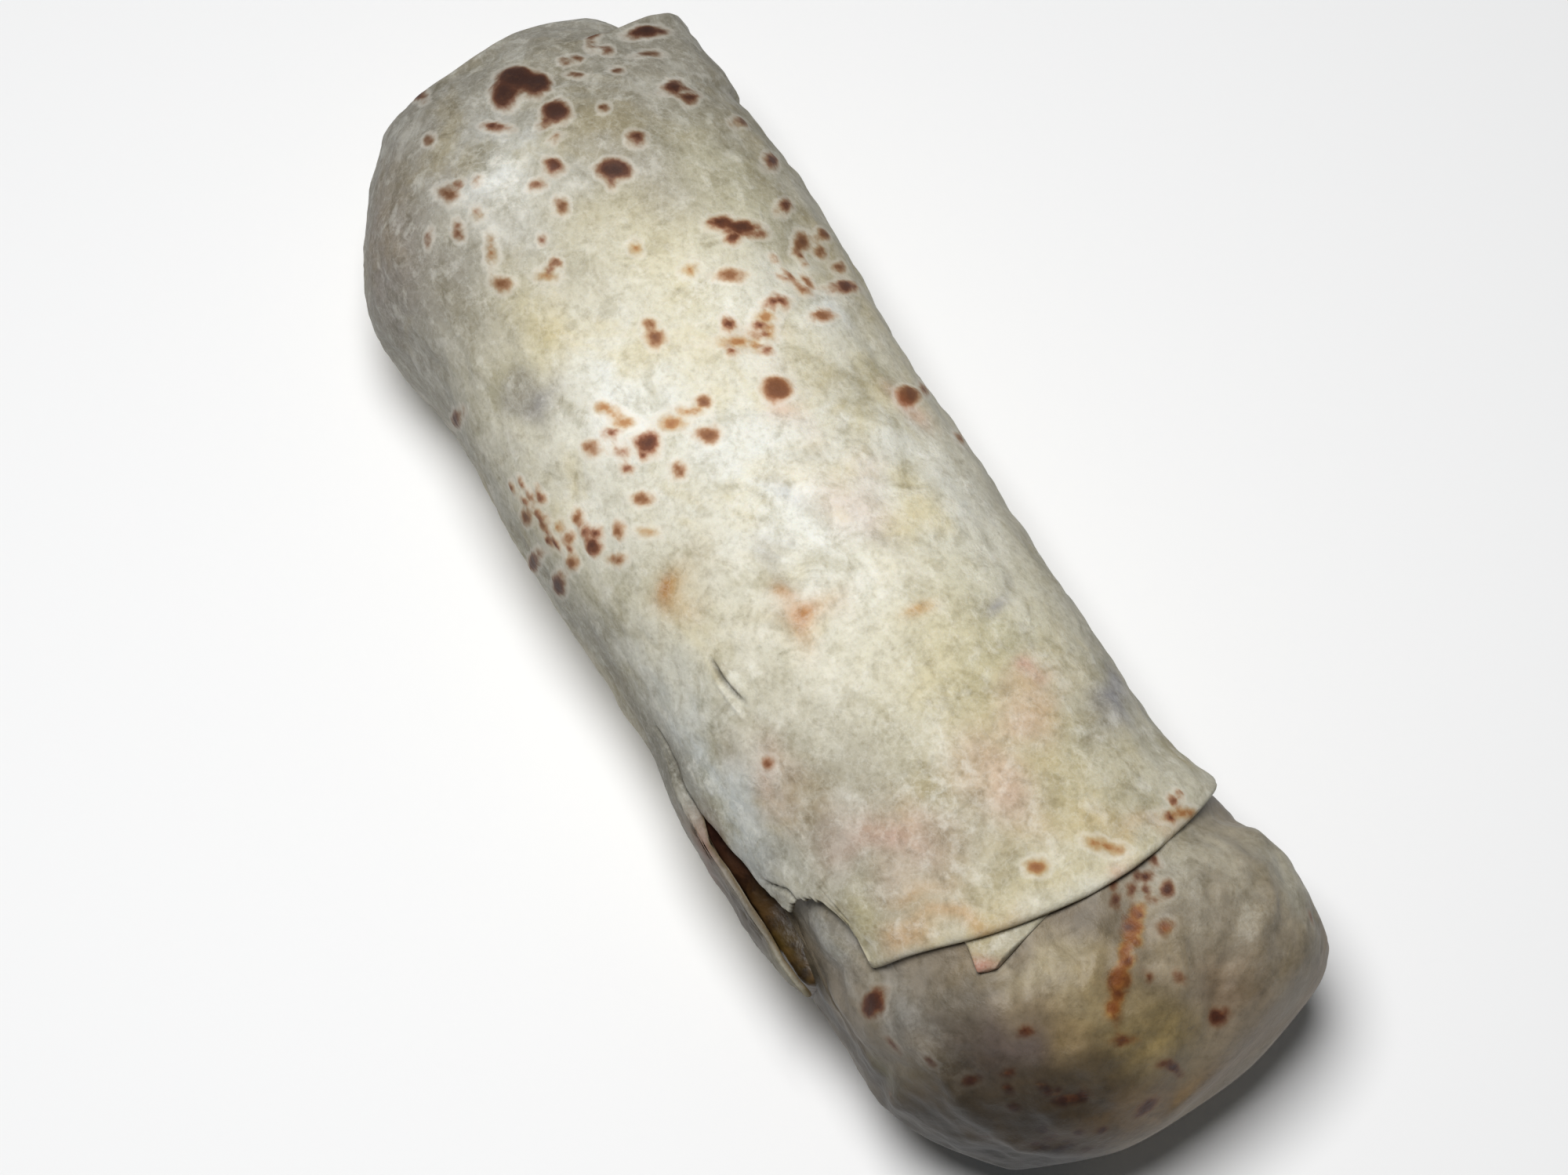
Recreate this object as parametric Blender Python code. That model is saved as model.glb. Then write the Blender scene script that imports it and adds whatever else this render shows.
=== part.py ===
"""A whole burrito: one flour tortilla rolled round its filling, lying on its underside.

tortilla  the rolled sheet: closed end, outer turn with its free edge, torn strip, tucked end
filling   the core of the roll, which shows through the split behind the torn strip

+X runs along the roll from the closed end to the tucked end, and +Z is up. A place on the skin
is a distance x and a turn, in degrees round from the top of the roll towards +Y.
"""

import math

import bmesh
import bpy
from mathutils import Matrix, Vector, noise

MM = 0.001

# Driving dimensions
CLOSED_END = -104.5 * MM
TUCKED_END = 103 * MM
CLOSED_DOME = 40 * MM
TUCKED_DOME = 33 * MM
TUCKED_SLANT = 5 * MM
TUCKED_SHOULDER = 77 * MM
END_HEIGHT = 26 * MM
FLAT_DEPTH = 2.5 * MM
SHEET = 1.9 * MM
LAYER_GAP = 0.5 * MM
WALL = 5.5 * MM
CORE_GAP = 0.35 * MM
LUMPS, LUMP_LENGTH, LUMP_TURN = 0.8 * MM, 24, 1.5

# The sheet's blisters and wrinkles stand this far out of the smooth skin
BLISTERS = 0.5 * MM

# The corner of the closed end's last fold, standing out of the right shoulder and ending in a low step
EAR, EAR_END = 4.4 * MM, 0.7 * MM
EAR_FRONT, EAR_RISE, EAR_BACK, EAR_DROP = -85.9 * MM, 1.2 * MM, -71 * MM, 0.6 * MM
EAR_TURN, EAR_REACH = 64, 22

# The right shoulder of the tucked end is squarer and set back
SQUARE_TURN, SQUARE_REACH, SQUARE_POWER = 66, 38, 3
SLANT_START, SLANT_FULL = 62 * MM, 92 * MM

# The crease between the tucked end's two folds, and the bulge beside the torn edge
CREASE, CREASE_TURN, CREASE_REACH, CREASE_SHIFT = 1.6 * MM, 47, 10, 20
CREASE_START, CREASE_BEND, CREASE_FULL = 66 * MM, 88 * MM, 98 * MM
BULGE, BULGE_X, BULGE_LENGTH = 1.7 * MM, 57 * MM, 7 * MM
BULGE_TURN, BULGE_REACH, BULGE_RISE = -62, 9, 4 * MM
EMERGE = 12 * MM

# Roundness: the powers of the section's and the ends' curves, 2 for an ellipse and more if squarer
SECTION_POWER = 2.25
CLOSED_POWER = 1.88
TUCKED_POWER = 2.1

# Stations along the roll, each an x and a size, in millimetres
LEFT_HALF = (
    (-103, 33.5), (-74, 34.2), (-52, 32.2), (-30, 33.2), (5, 33.4), (52, 33.8), (62, 32.6), (72, 33),
    (81, 32.8), (91, 32.2), (103, 30),
)
RIGHT_HALF = (
    (-103, 35.5), (-70, 35.7), (-50, 36.6), (-20, 33.2), (20, 32.6), (56, 32.2), (67, 35.8), (73, 34.8),
    (79, 37.1), (88, 38.8), (103, 40.5),
)
HEIGHT = ((-103, 57), (-60, 60), (0, 61), (50, 60), (75, 57), (103, 54))

# Flat faces pressed into the gathered ends: the way each one faces, in degrees round from +X towards +Y
# and up from level, and how far it is from the roll's zero, in millimetres
FACETS = (
    (83, 10, 51.4), (42, -6, 91), (22, -13, 94.6), (-1, -19, 89.4), (-19, -21, 84.2), (-53, -21, 63.6),
    (-64, -19, 54.4), (162, 21, 104.2), (-175, 18, 104.2),
)

# The outer turn's free edge, as (turn, x in millimetres): a smooth line where the sheet was folded
# over, and straight from point to point where it tore
FOLD_EDGE = (
    (-53, 64.5), (-42, 67), (-20, 71.5), (10, 73.8), (30, 73), (50, 69.5), (76, 63),
    (130, 52), (180, 48), (262, 48), (307, 64.5),
)
TORN_EDGE = (
    (-98, 49), (-90, 52), (-85.5, 60), (-84, 53), (-82.5, 42), (-81.5, 30), (-80, 19),
    (-79, 26), (-78, 33), (-77, 39), (-74, 44), (-70, 48), (-66, 49),
    (-61, 50), (-57.5, 54), (-55, 59), (-53, 64.5),
)
COLUMN_STEP = 8.5

# The torn strip stands off the roll, and the pocket under it is deeper than under the fold. It lies
# between these turns, and lifts off between these stations
STRIP_LIFT = 2.2 * MM
STRIP_UNDER, STRIP_FULL, STRIP_EDGE, STRIP_SPLIT = -140, -95, -81.5, -80
STRIP_START, STRIP_FREE = 12 * MM, 34 * MM
POCKET = 5 * MM
STRIP_POCKET, POCKET_FULL, POCKET_EDGE, POCKET_STOP = 28 * MM, -110, -84, -79

# The split that the filling shows through, and the tongue of sheet that pokes from the fold, as
# (turn, millimetres beyond the fold)
SPLIT_X, SPLIT_LENGTH = 36 * MM, 13 * MM
SPLIT_TURN, SPLIT_REACH = -80, 9
SPLIT_RISE = 5.2 * MM
TONGUE = ((-28.5, 1.5), (-26.5, 4.6), (-20, 3.2), (-15, 2.2), (-10, 1.1), (-5, 0.2))
TONGUE_TOP = 1.0 * MM
TONGUE_ROOT = 3.4 * MM
TONGUE_HELD = 0.5 * MM

# Where the rings of points lie: shares of the stretch they cover
SPLIT_END = 6 * MM
MIDDLE_RINGS, CLOSED_RINGS, TUCKED_RINGS, CORE_RINGS, CORE_POINTS = 11, 9, 8, 24, 32
EDGE_SHARES = (0.12, 0.24, 0.36, 0.48, 0.6, 0.7, 0.8, 0.89, 0.96, 1)
POCKET_SHARES = (0.02, 0.5, 1)
INNER_SHARES = (0, 0.12, 0.24, 0.37, 0.5, 0.64, 0.78, 0.9)
RING_CLEAR = 2.5 * MM


def smooth_between(stations, x):
    """The size at x on a smooth curve through the stations."""
    x = min(max(x, stations[0][0]), stations[-1][0])
    i = 0
    while x > stations[i + 1][0]:
        i += 1
    (x0, y0), (x1, y1) = stations[i], stations[i + 1]
    before, after = stations[max(i - 1, 0)], stations[min(i + 2, len(stations) - 1)]
    t = (x - x0) / (x1 - x0)
    slope0 = (y1 - before[1]) / (x1 - before[0]) * (x1 - x0)
    slope1 = (after[1] - y0) / (after[0] - x0) * (x1 - x0)
    rise = t * t * (3 - 2 * t)
    return y0 + (y1 - y0) * rise + slope0 * t * (1 - t) ** 2 - slope1 * t * t * (1 - t)


def straight_between(stations, x):
    """The size at x on straight lines from station to station."""
    for (x0, y0), (x1, y1) in zip(stations, stations[1:]):
        if x <= x1:
            return y0 + (y1 - y0) * (x - x0) / (x1 - x0)
    return stations[-1][1]


def step(low, high, value):
    """0 below low, 1 above high, and smooth between."""
    t = min(max((value - low) / (high - low), 0), 1)
    return t * t * (3 - 2 * t)


def bump(distance, reach):
    """1 at no distance, falling smoothly to nothing at about twice the reach."""
    return math.exp(-((distance / reach) ** 2))


def turn_from(middle, turn):
    """The signed angle from the middle to the turn, from -180 to 180 degrees."""
    return (turn - middle + 180) % 360 - 180


def fold_x(turn):
    """Where the folded edge runs, or would run had the sheet not torn."""
    start = FOLD_EDGE[0][0]
    return smooth_between(FOLD_EDGE, start + (turn - start) % 360) * MM


def edge_x(turn):
    """Where the outer turn ends."""
    turn = turn_from(0, turn)
    if TORN_EDGE[0][0] <= turn <= TORN_EDGE[-1][0]:
        return straight_between(TORN_EDGE, turn) * MM
    return fold_x(turn)


def end_share(depth, full, power):
    """How wide a rounded end is at this depth from its tip, as a share of the full section."""
    if depth >= full:
        return 1
    return (1 - (1 - max(depth, 0) / full) ** power) ** (1 / power)


def skin(x, turn, inset=0):
    """The roll's surface at x and turn, or the surface that lies inset below it."""
    angle = math.radians(turn)
    side, top = math.sin(angle), math.cos(angle)
    reach = (abs(side) ** SECTION_POWER + abs(top) ** SECTION_POWER) ** (-1 / SECTION_POWER)
    squarer = bump(turn_from(SQUARE_TURN, turn), SQUARE_REACH)
    share = end_share(x - CLOSED_END - inset, CLOSED_DOME, CLOSED_POWER)
    share *= end_share(TUCKED_END - inset - x, TUCKED_DOME, TUCKED_POWER + SQUARE_POWER * squarer)
    half = smooth_between(RIGHT_HALF if side > 0 else LEFT_HALF, x / MM) * MM - inset
    tall = smooth_between(HEIGHT, x / MM) * MM
    lump = LUMPS * noise.noise(Vector((x / MM / LUMP_LENGTH, side * LUMP_TURN, top * LUMP_TURN)))
    middle = END_HEIGHT + ((tall - FLAT_DEPTH) / 2 - END_HEIGHT) * share
    rise = (tall + FLAT_DEPTH) / 2 - inset
    y = (half + lump) * share * side * reach
    z = middle + (rise + lump) * share * top * reach
    x -= TUCKED_SLANT * squarer * share * step(SLANT_START, SLANT_FULL, x)
    return Vector((x, y, max(z, inset, 0)))


def pressed(point):
    """The point, moved back to any flat face that it stands out of."""
    for around, up, reach in FACETS:
        around, up = math.radians(around), math.radians(up)
        faces = Vector((math.cos(up) * math.cos(around), math.cos(up) * math.sin(around), math.sin(up)))
        point = point - max(point.dot(faces) - reach * MM - BLISTERS, 0) * faces
    return Vector((point.x, point.y, max(point.z, 0)))


def strip_lift(x, turn):
    """How far the torn strip stands off the roll."""
    turn = turn_from(0, turn)
    across = step(STRIP_UNDER, STRIP_FULL, turn) * (1 - step(STRIP_EDGE, STRIP_SPLIT, turn))
    return STRIP_LIFT * across * step(STRIP_START, STRIP_FREE, x)


def ear(x, turn):
    """How far the corner of the closed end's last fold stands out of its right shoulder."""
    stations = (
        (EAR_FRONT - EAR_RISE, 0), (EAR_FRONT, EAR), (EAR_BACK, EAR_END), (EAR_BACK + EAR_DROP, 0),
    )
    if not stations[0][0] < x < stations[-1][0]:
        return 0
    return straight_between(stations, x) * bump(turn_from(EAR_TURN, turn), EAR_REACH)


def outer_turn(x, turn, inset=0):
    """The outer turn's surface, with room for its blisters, or the surface that lies inset below it."""
    return pressed(skin(x, turn, inset - BLISTERS - strip_lift(x, turn) - ear(x, turn)))


def pocket(turn):
    """How far back under the free edge the two layers part."""
    turn = turn_from(0, turn)
    under = step(STRIP_UNDER, POCKET_FULL, turn) * (1 - step(POCKET_EDGE, POCKET_STOP, turn))
    return POCKET + STRIP_POCKET * under


def inner_turn(x, turn):
    """The layer below, which is a sheet's thickness down until it is clear of the fold."""
    down = 1 - step(0, EMERGE, x - fold_x(turn))
    line = CREASE_TURN - CREASE_SHIFT * step(CREASE_BEND, TUCKED_END, x)
    crease = CREASE * step(CREASE_START, CREASE_FULL, x) * bump(turn_from(line, turn), CREASE_REACH)
    bulge = BULGE * bump(x - BULGE_X, BULGE_LENGTH) * bump(turn_from(BULGE_TURN, turn), BULGE_REACH)
    bulge *= step(0, BULGE_RISE, x - edge_x(turn))
    return pressed(skin(x, turn, (SHEET + LAYER_GAP) * down + crease - bulge - BLISTERS))


def columns():
    """The turns that carry a row of points: every corner of the torn edge, and evenly between."""
    corners = [turn for turn, _ in TORN_EDGE]
    found = []
    for start, end in zip(corners, corners[1:] + [corners[0] + 360]):
        parts = max(1, math.ceil((end - start) / COLUMN_STEP))
        found += [start + (end - start) * i / parts for i in range(parts)]
    return found


def end_depths(full, count):
    """Depths of the rings on a rounded end, closer together towards its tip."""
    return [full * (1 - math.cos(math.radians(90 * i / count))) for i in range(1, count + 1)]


def closed_end_places():
    """The rings of the closed end, with one on each corner of its ear."""
    even = [CLOSED_END + depth for depth in end_depths(CLOSED_DOME, CLOSED_RINGS)]
    ear_front = [EAR_FRONT - EAR_RISE, EAR_FRONT]
    ear_back = [EAR_BACK, EAR_BACK + EAR_DROP]
    kept = [x for x in even if min(abs(x - corner) for corner in ear_front + ear_back) > RING_CLEAR]
    return sorted(kept + ear_front + ear_back)


def loft(name, rings, first, last):
    """A closed body: rings of points joined in order, and a point to close each end."""
    mesh = bmesh.new()
    loops = [[mesh.verts.new(point) for point in ring] for ring in rings]
    tip, tail = mesh.verts.new(first), mesh.verts.new(last)
    count = len(loops[0])
    for i in range(count):
        j = (i + 1) % count
        mesh.faces.new((tip, loops[0][j], loops[0][i]))
        mesh.faces.new((tail, loops[-1][i], loops[-1][j]))
        for ring, after in zip(loops, loops[1:]):
            mesh.faces.new((ring[i], ring[j], after[j], after[i]))
    bmesh.ops.recalc_face_normals(mesh, faces=mesh.faces)
    bmesh.ops.triangulate(mesh, faces=mesh.faces, quad_method="FIXED")
    data = bpy.data.meshes.new(name)
    mesh.to_mesh(data)
    mesh.free()
    made = bpy.data.objects.new(name, data)
    bpy.context.collection.objects.link(made)
    return made


def finish(name, colour, roughness):
    """A food surface in one colour."""
    made = bpy.data.materials.new(name)
    made.use_nodes = True
    shader = made.node_tree.nodes["Principled BSDF"]
    shader.inputs["Base Color"].default_value = (*colour, 1)
    shader.inputs["Roughness"].default_value = roughness
    shader.inputs["Metallic"].default_value = 0
    return made


def whole_roll():
    """The rolled sheet with no hollow: outer turn, its free edge, the pocket, then the inner turn."""
    turns = columns()
    shoulder = CLOSED_END + CLOSED_DOME
    rings = []
    for x in closed_end_places():
        rings.append([outer_turn(x, turn) for turn in turns])
    for i in range(1, MIDDLE_RINGS + 1):
        x = shoulder + (SPLIT_END - shoulder) * i / MIDDLE_RINGS
        rings.append([outer_turn(x, turn) for turn in turns])
    for share in EDGE_SHARES:
        rings.append([outer_turn(SPLIT_END + (edge_x(turn) - SPLIT_END) * share, turn) for turn in turns])
    for share in POCKET_SHARES:
        rings.append([outer_turn(edge_x(turn) - pocket(turn) * share, turn, SHEET) for turn in turns])
    for share in INNER_SHARES:
        ring = []
        for turn in turns:
            start = edge_x(turn) - pocket(turn)
            ring.append(inner_turn(start + (TUCKED_SHOULDER - start) * share, turn))
        rings.append(ring)
    for depth in reversed(end_depths(TUCKED_END - TUCKED_SHOULDER, TUCKED_RINGS)):
        rings.append([inner_turn(TUCKED_END - depth, turn) for turn in turns])
    first = Vector((CLOSED_END, 0, END_HEIGHT))
    return loft("tortilla", rings, first, Vector((TUCKED_END, 0, END_HEIGHT)))


def core(name, gap):
    """The filling's body, grown by gap, with a ridge that rises into the split."""
    rings = []
    inset = WALL - gap
    length = TUCKED_END - CLOSED_END - 2 * inset
    for i in range(1, CORE_RINGS):
        x = CLOSED_END + inset + length * (1 - math.cos(math.pi * i / CORE_RINGS)) / 2
        ring = []
        for k in range(CORE_POINTS):
            turn = 360 * k / CORE_POINTS + SPLIT_TURN
            across = turn_from(SPLIT_TURN, turn)
            ridge = SPLIT_RISE * bump(x - SPLIT_X, SPLIT_LENGTH) * bump(across, SPLIT_REACH)
            ring.append(skin(x, turn, inset - ridge))
        rings.append(ring)
    first = Vector((CLOSED_END + inset, 0, END_HEIGHT))
    return loft(name, rings, first, Vector((TUCKED_END - inset, 0, END_HEIGHT)))


def tongue():
    """The corner of the tucked fold that pokes out from under the folded edge."""
    rings = []
    for turn, beyond in TONGUE:
        under = fold_x(turn) - POCKET - TONGUE_HELD
        tip = fold_x(turn) + beyond * MM
        ring = [skin(x, turn, TONGUE_ROOT) for x in (under, tip)]
        ring += [skin(x, turn, TONGUE_TOP) for x in (tip, under)]
        rings.append(ring)
    ends = [sum(ring, Vector()) / len(ring) for ring in (rings[0], rings[-1])]
    return loft("tongue", rings, *ends)


def combine(made, operation, other):
    """Cuts a helper from the piece or joins it on, and leaves the helper out of the scene's render."""
    other.hide_render = True
    change = made.modifiers.new(other.name, "BOOLEAN")
    change.operation = operation
    change.object = other


for old in list(bpy.data.objects):
    bpy.data.objects.remove(old)

flour_tortilla = finish("baked_flour_tortilla", (0.60, 0.54, 0.40), 0.75)
bean_filling = finish("bean_filling", (0.16, 0.05, 0.03), 0.5)

tortilla = whole_roll()
tortilla.data.materials.append(flour_tortilla)
combine(tortilla, "UNION", tongue())
combine(tortilla, "DIFFERENCE", core("hollow", CORE_GAP))

filling = core("filling", 0)
filling.data.materials.append(bean_filling)

# The origin goes to the middle of the burrito's footprint
pieces = (tortilla, filling, *(change.object for change in tortilla.modifiers))
reach = [vertex.co for vertex in tortilla.data.vertices]
sides = [(min(co[axis] for co in reach), max(co[axis] for co in reach)) for axis in (0, 1)]
middle = Vector([(low + high) / 2 for low, high in sides] + [0])
for piece in pieces:
    piece.data.transform(Matrix.Translation(-middle))
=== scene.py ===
"""The looks of a whole burrito: a flour tortilla rolled round its filling, lying on its underside.

A place on the roll is given as x, the millimetres along it from its own zero, and a turn, in degrees
round from the top towards +Y. ZERO is where that zero lies in the frame.
"""

import math

import bpy
import numpy as np
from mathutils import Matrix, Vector, noise


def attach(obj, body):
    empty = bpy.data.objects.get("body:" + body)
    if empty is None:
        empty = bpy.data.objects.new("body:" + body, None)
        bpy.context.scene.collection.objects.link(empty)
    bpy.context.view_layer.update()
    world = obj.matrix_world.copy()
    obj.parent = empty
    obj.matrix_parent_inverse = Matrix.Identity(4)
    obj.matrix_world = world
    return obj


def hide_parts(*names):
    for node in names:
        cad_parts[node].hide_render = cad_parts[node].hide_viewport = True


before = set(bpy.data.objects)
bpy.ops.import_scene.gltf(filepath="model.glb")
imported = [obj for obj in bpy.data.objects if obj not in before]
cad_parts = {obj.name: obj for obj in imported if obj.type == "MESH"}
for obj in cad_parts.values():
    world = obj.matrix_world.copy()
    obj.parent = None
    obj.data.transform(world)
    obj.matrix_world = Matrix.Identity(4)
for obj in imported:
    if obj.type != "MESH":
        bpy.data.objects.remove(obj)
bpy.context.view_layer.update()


# ---- The outer turn of the tortilla
# A round of wheat dough rolled out to about 2 mm and baked on a hot plate, then wrapped round the
# filling. One end is tucked in and shut, the other edge is folded over the tucked end below it,
# and on the left the sheet has torn, so that a strip of it stands off the roll.

MM = 0.001
SHEET, LAYER_GAP = 1.9, 0.5

# The roll in millimetres: where its ends are, how far in they are rounded, how high their middles lie, and
# how much the underside is flattened. A higher power gives a squarer section or end, and the roll is lumpy
CLOSED_END, TUCKED_END = -104.5, 103
CLOSED_DOME, TUCKED_DOME = 40, 33
END_HEIGHT, FLAT_DEPTH = 26, 2.5
SECTION_POWER, CLOSED_POWER, TUCKED_POWER = 2.25, 1.88, 2.1
LUMPS, LUMP_LENGTH, LUMP_TURN = 0.8, 24, 1.5

# The tucked end is squarer round this turn, and slants back there between these places along the roll
SQUARE_TURN, SQUARE_REACH, SQUARER = 66, 38, 3
TUCKED_SLANT, SLANT_START, SLANT_FULL = 5, 62, 92

# The roll's own zero, in the frame, whose zero is midway between the ends and the sides. The roll is a little
# wider on the right, so its own zero is left of the middle
ZERO = np.array([-(CLOSED_END + TUCKED_END) / 2, -0.78, 0])

# How wide the roll is to the left and to the right of its zero, and how tall, at each x
LEFT_HALF = (
    (-103, 33.5), (-74, 34.2), (-52, 32.2), (-30, 33.2), (5, 33.4), (52, 33.8), (62, 32.6), (72, 33),
    (81, 32.8), (91, 32.2), (103, 30),
)
RIGHT_HALF = (
    (-103, 35.5), (-70, 35.7), (-50, 36.6), (-20, 33.2), (20, 32.6), (56, 32.2), (67, 35.8), (73, 34.8),
    (79, 37.1), (88, 38.8), (103, 40.5),
)
HEIGHT = ((-103, 57), (-60, 60), (0, 61), (50, 60), (75, 57), (103, 54))

# The sheet's free edge, as turn and x: smooth where it was folded over, ragged where it tore
FOLD_EDGE = (
    (-49.6, 64.4), (-44.5, 66), (-34, 68.4), (-23, 70.8), (-13, 72.4), (-2, 73.5), (9, 74.2), (20, 74.2),
    (35, 72.8), (50, 70.4), (76, 64), (130, 52), (180, 48), (262, 48), (310.4, 64.4),
)
TORN_EDGE = (
    (-98, 49), (-93, 50.5), (-90, 52), (-88, 56.5), (-86.8, 57), (-85.6, 60.5), (-84.8, 56), (-84, 53),
    (-82.5, 42), (-81.5, 33), (-80, 25), (-78.5, 30), (-77, 34), (-75.5, 38.5), (-74, 42), (-72, 44.5),
    (-69.5, 47.5), (-66.5, 49.8), (-64, 49.2), (-61, 49.4), (-58, 50.2), (-55.5, 51.2), (-53, 52.6),
    (-51.3, 55), (-50.3, 58), (-49.8, 61), (-49.6, 64.4),
)
RAGGED, RAGGED_TURN = 0.8, 1.7
TORN_THINNING = 0.45

# The torn strip stands off the roll as far round as this turn, where its edge is frayed: how far in degrees,
# and the length of the fibres in mm and their width in degrees. The fold's left corner is pulled down
STRIP_LIFT, STRIP_TURN = 2.2, -81.5
FRAY, FRAY_LENGTH, FRAY_TURN = 2.4, 2.6, 5
CORNER_PULL, CORNER_TURN = 4.6, -50

# The rows of the mesh are even as far as the first x, then follow the free edge, and end inside at the second
EVEN_ROWS_END, CAP_X = 6, 8

# The last fold of the closed end: it stands out in a corner on the right shoulder and ends in a low step
EAR, EAR_END, EAR_FRONT, EAR_BACK, EAR_TURN, EAR_REACH = 4.4, 0.7, -85.9, -71, 64, 22
EAR_RISE, EAR_DROP = 1.2, 0.6

# Where the closed end is fuller or flatter than an even dome: height, x, turn, and reach along and round
SHOULDERS = ((2, -95, 62, 8, 35), (1.2, -100, 10, 6, 30), (-1.4, -88, -68, 12, 35))

# A short slit in the sheet, the furrow that the tear runs out in, and a crack beside its arch, as x and turn.
# The slit's lip is raised: its height in mm, and how far it is from the slit, as x and turn
SLIT = ((13, -41.2), (17.5, -41.4), (20.5, -41), (23.5, -39.6))
SLIT_HALF, SLIT_DEPTH, SLIT_TAPER = 0.4, 0.7, 3
LIP, LIP_X, LIP_TURN = 0.25, 3, -1.8
FURROW = ((12, -77), (18, -77.6), (24, -79.2), (29, -80))
CRACK = ((42.2, -71.5), (45.8, -65), (47.4, -62), (50.8, -60))

# Round the roll, a degree of turn is about this many millimetres
MM_PER_DEGREE = 0.56

# Flat faces pressed into the gathered ends: the way each one faces, in degrees round from +X towards +Y and
# up from level, and how far it is from the roll's zero
FACETS = (
    (83, 10, 51.4), (42, -6, 90.4), (22, -13, 93.2), (-1, -19, 89), (-19, -21, 83.6), (-53, -21, 62.4),
    (-64, -19, 53.4), (162, 21, 104.2), (-175, 18, 104.2),
)
FACET_EDGE, FACET_HOLD = 0.5, 0.9
SEED = Vector((31, 17, 5))


def smooth_between(stations, x):
    """The sizes at x on a smooth curve through the stations."""
    at, size = np.array(stations, float).T
    x = np.clip(x, at[0], at[-1])
    i = np.clip(np.searchsorted(at, x) - 1, 0, len(at) - 2)
    before, after = np.maximum(i - 1, 0), np.minimum(i + 2, len(at) - 1)
    span = at[i + 1] - at[i]
    t = (x - at[i]) / span
    slope0 = (size[i + 1] - size[before]) / (at[i + 1] - at[before]) * span
    slope1 = (size[after] - size[i]) / (at[after] - at[i]) * span
    rise = t * t * (3 - 2 * t)
    return size[i] + (size[i + 1] - size[i]) * rise + slope0 * t * (1 - t) ** 2 - slope1 * t * t * (1 - t)


def step(low, high, value):
    """0 below low, 1 above high, and smooth between."""
    t = np.clip((value - low) / (high - low), 0, 1)
    return t * t * (3 - 2 * t)


def bump(distance, reach):
    """1 at no distance, falling smoothly to nothing at about twice the reach."""
    return np.exp(-((distance / reach) ** 2))


def turn_from(middle, turn):
    """The signed angle from the middle to the turn, from -180 to 180 degrees."""
    return (turn - middle + 180) % 360 - 180


def unevenness(points, size, seed=0):
    """Smooth noise from about -1 to 1 at each point, with lumps of this size in millimetres."""
    shift = SEED * seed
    flat = [noise.noise(Vector(point) / size + shift) for point in points.reshape(-1, 3)]
    return np.array(flat).reshape(points.shape[:-1])


def end_share(depth, full, power):
    """How wide a rounded end is at this depth from its tip, as a share of the full section."""
    inward = 1 - np.clip(depth / full, 0, 1)
    return (1 - inward**power) ** (1 / power)


def skin(x, turn, inset=0.0):
    """The roll's surface at x and turn, or the surface that lies inset below it."""
    x, turn, inset = np.broadcast_arrays(np.asarray(x, float), turn, inset)
    side, top = np.sin(np.radians(turn)), np.cos(np.radians(turn))
    reach = (abs(side) ** SECTION_POWER + abs(top) ** SECTION_POWER) ** (-1 / SECTION_POWER)
    squarer = bump(turn_from(SQUARE_TURN, turn), SQUARE_REACH)
    share = end_share(x - CLOSED_END - inset, CLOSED_DOME, CLOSED_POWER)
    share = share * end_share(TUCKED_END - inset - x, TUCKED_DOME, TUCKED_POWER + SQUARER * squarer)
    half = np.where(side > 0, smooth_between(RIGHT_HALF, x), smooth_between(LEFT_HALF, x)) - inset
    tall = smooth_between(HEIGHT, x)
    places = np.stack([x / LUMP_LENGTH, side * LUMP_TURN, top * LUMP_TURN], -1)
    lump = LUMPS * unevenness(places, 1)
    middle = END_HEIGHT + ((tall - FLAT_DEPTH) / 2 - END_HEIGHT) * share
    rise = (tall + FLAT_DEPTH) / 2 - inset
    y = (half + lump) * share * side * reach
    z = middle + (rise + lump) * share * top * reach
    x = x - TUCKED_SLANT * squarer * share * step(SLANT_START, SLANT_FULL, x)
    return np.stack([x, y, np.maximum(z, np.maximum(inset, 0))], -1)


def pressed(points):
    """The points, moved most of the way back to the flat faces that they stand out of."""
    for around, up, reach in FACETS:
        around, up = math.radians(around), math.radians(up)
        faces = np.array([math.cos(up) * math.cos(around), math.cos(up) * math.sin(around), math.sin(up)])
        out = points @ faces - reach
        over = (out + np.sqrt(out**2 + FACET_EDGE**2)) / 2
        points = points - FACET_HOLD * over[..., None] * faces
    points[..., 2] = np.maximum(points[..., 2], 0)
    return points


def fold_x(turn):
    """Where the folded edge runs, or would run had the sheet not torn."""
    start = FOLD_EDGE[0][0]
    return smooth_between(FOLD_EDGE, start + (turn - start) % 360)


def edge_x(turn):
    """Where the outer turn ends: the fold, or the torn edge with its fibres pulled uneven."""
    at, reach = np.array(TORN_EDGE, float).T
    torn = np.interp(turn, at, reach)
    fibres = np.array([noise.noise(Vector((value * RAGGED_TURN, 4, 0))) for value in turn])
    inside = (turn >= at[0]) & (turn <= at[-1])
    held = step(at[0], at[0] + 2, turn) * (1 - step(at[-1] - 2, at[-1], turn))
    return np.where(inside, torn + RAGGED * fibres * held, fold_x(turn))


def strip_lift(x, turn):
    """How far the torn strip stands off the roll."""
    across = step(-140, -95, turn) * (1 - step(STRIP_TURN, STRIP_TURN + 1.5, turn))
    return STRIP_LIFT * across * step(12, 34, x)


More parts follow.
